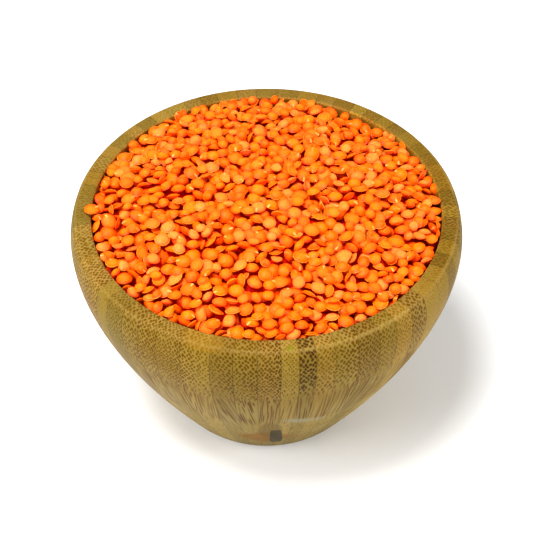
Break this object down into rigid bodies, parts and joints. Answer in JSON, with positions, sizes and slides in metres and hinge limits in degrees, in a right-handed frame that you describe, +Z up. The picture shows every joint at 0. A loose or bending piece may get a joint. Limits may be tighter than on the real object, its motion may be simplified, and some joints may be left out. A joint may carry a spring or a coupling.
{
  "type": "bowl of dry lentils",
  "caption": "Round turned bamboo bowl with a narrow flat foot, filled to a gentle mound with dry red split lentils.",
  "frame": {"origin": "centre of the bowl's flat foot, on the surface that it stands on", "axes": "+Z up along the bowl's turning axis, -Y towards the picture's viewer, +X to the viewer's right"},
  "size_m": [0.1342, 0.1342, 0.0943],
  "materials": {
    "bamboo": "satin oiled",
    "lentil": "smooth dry seed, slightly waxy"
  },
  "bodies": {
    "root": {"bowl": "bamboo", "lentils": "lentil"}
  },
  "joints": []
}
